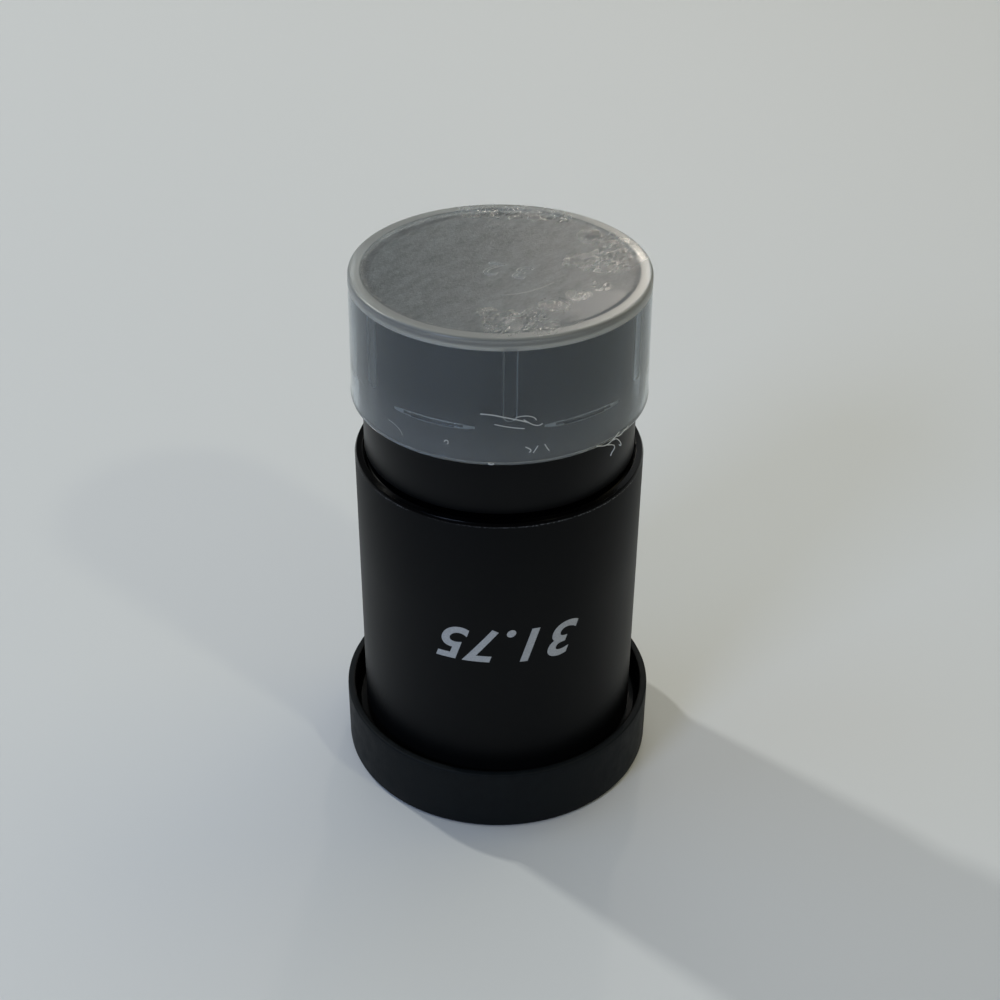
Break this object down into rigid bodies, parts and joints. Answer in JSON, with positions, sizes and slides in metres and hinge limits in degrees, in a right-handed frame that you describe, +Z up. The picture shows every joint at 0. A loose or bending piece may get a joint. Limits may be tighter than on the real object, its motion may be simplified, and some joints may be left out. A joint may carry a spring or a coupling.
{
  "type": "cheshire collimating eyepiece",
  "caption": "Short telescope collimating eyepiece: side window, bright 45 degree reflector with sight hole, peephole, slip-in barrel, and push-on caps at both ends.",
  "frame": {"origin": "centre of the eye cap's underside, which the eyepiece stands on", "axes": "+Z up along the optical axis, from the peephole to the barrel's open end; +Y out of the light window"},
  "size_m": [0.0388, 0.0388, 0.0668],
  "materials": {
    "black_plastic": "matte moulded",
    "black_anodised": "satin black anodised",
    "bright_aluminium": "fine turned, bright",
    "frosted_plastic": "translucent, fine grained"
  },
  "bodies": {
    "eye_cap": {"eye_cap": "black_plastic"},
    "eyepiece": {"eye_end": "black_anodised", "body_tube": "black_anodised", "reflector": "bright_aluminium", "nosepiece_barrel": "black_anodised"},
    "barrel_cap": {"barrel_cap": "frosted_plastic"}
  },
  "joints": [
    {"name": "eyepiece_lift", "type": "slide", "parent": "eye_cap", "child": "eyepiece", "axis": [0, 0, 1], "range_m": [0, 0.02]},
    {"name": "barrel_cap_pull", "type": "slide", "parent": "eyepiece", "child": "barrel_cap", "axis": [0, 0, 1], "range_m": [0, 0.03]}
  ]
}
